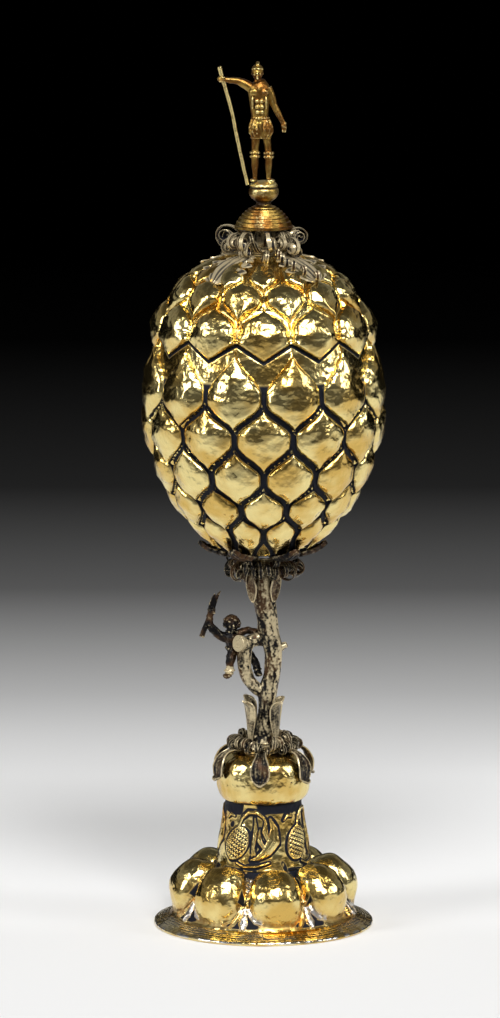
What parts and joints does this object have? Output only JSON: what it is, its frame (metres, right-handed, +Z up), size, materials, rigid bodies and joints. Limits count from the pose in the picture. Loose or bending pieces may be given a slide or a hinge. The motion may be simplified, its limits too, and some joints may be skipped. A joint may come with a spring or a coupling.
{
  "type": "pineapple cup",
  "caption": "Tall covered standing cup whose bowl and cover form a lobed pineapple, on a tree-trunk stem with a figure and a lobed foot, topped by a warrior finial.",
  "frame": {"origin": "middle of the foot's resting ring, on the surface that the cup stands on", "axes": "+Z up along the cup's axis; -Y is the front, the side that the picture shows, with the warrior facing it; +X is to the viewer's right"},
  "size_m": [0.0998, 0.0998, 0.3602],
  "materials": {
    "gilt": "silver gilt, hammered and chased, soft polish with dark recesses",
    "silver": "plain silver, turned",
    "dark_silver": "oxidised silver with worn bright edges"
  },
  "bodies": {
    "cup": {"foot_flange": "gilt", "foot_dome": "gilt", "foot_spool": "gilt", "foot_drum": "gilt", "foot_washer": "silver", "foot_nut": "silver", "stem_stud": "silver", "foot_leaves": "dark_silver", "foot_curls_low": "dark_silver", "foot_curls_high": "dark_silver", "stem_leaves_low": "dark_silver", "stem_trunk": "dark_silver", "woodcutter": "dark_silver", "woodcutter_blade": "dark_silver", "stem_leaves_top": "dark_silver", "calyx_curls_low": "dark_silver", "calyx_curls_high": "dark_silver", "calyx_leaves": "dark_silver", "bowl_stud": "silver", "cup_shell": "gilt"},
    "cover": {"cover_shell": "gilt", "cover_bezel": "gilt", "cover_leaves": "dark_silver", "cover_curls_low": "dark_silver", "cover_curls_high": "dark_silver", "cover_bud_leaves": "dark_silver", "cover_washer": "silver", "cover_nut": "silver", "finial_neck": "silver", "finial_dome": "gilt", "finial_knop": "gilt", "finial_screw": "silver", "warrior": "gilt", "warrior_staff": "gilt"}
  },
  "joints": [
    {"name": "cover_lift", "type": "slide", "parent": "cup", "child": "cover", "axis": [0, 0, 1], "range_m": [0, 0.12]}
  ]
}
